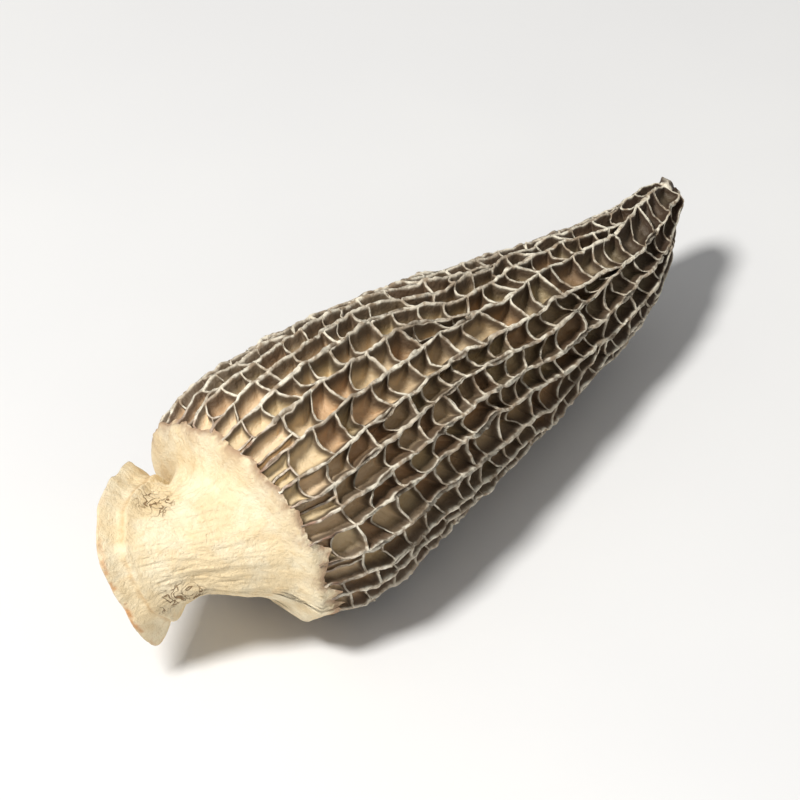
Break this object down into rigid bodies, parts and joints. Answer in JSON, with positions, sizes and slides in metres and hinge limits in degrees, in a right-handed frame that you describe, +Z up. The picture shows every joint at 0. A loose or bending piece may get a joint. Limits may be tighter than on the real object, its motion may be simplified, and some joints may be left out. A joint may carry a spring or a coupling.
{
  "type": "dried morel mushroom",
  "caption": "Dried morel lying on its side: long hollow cap with a raised net of ribs round deep pits, on a short hollow stem that flares to a cut foot.",
  "frame": {"origin": "under the middle of the mushroom's bounding box, on the surface it lies on", "axes": "+X along the cap towards its tip, +Z up from the surface it lies on"},
  "size_m": [0.1002, 0.0328, 0.0305],
  "materials": {
    "cap": "dry, dull dark brown pits with paler crests",
    "stem": "dry, dull cream"
  },
  "bodies": {
    "root": {"cap": "cap", "stem": "stem"}
  },
  "joints": []
}
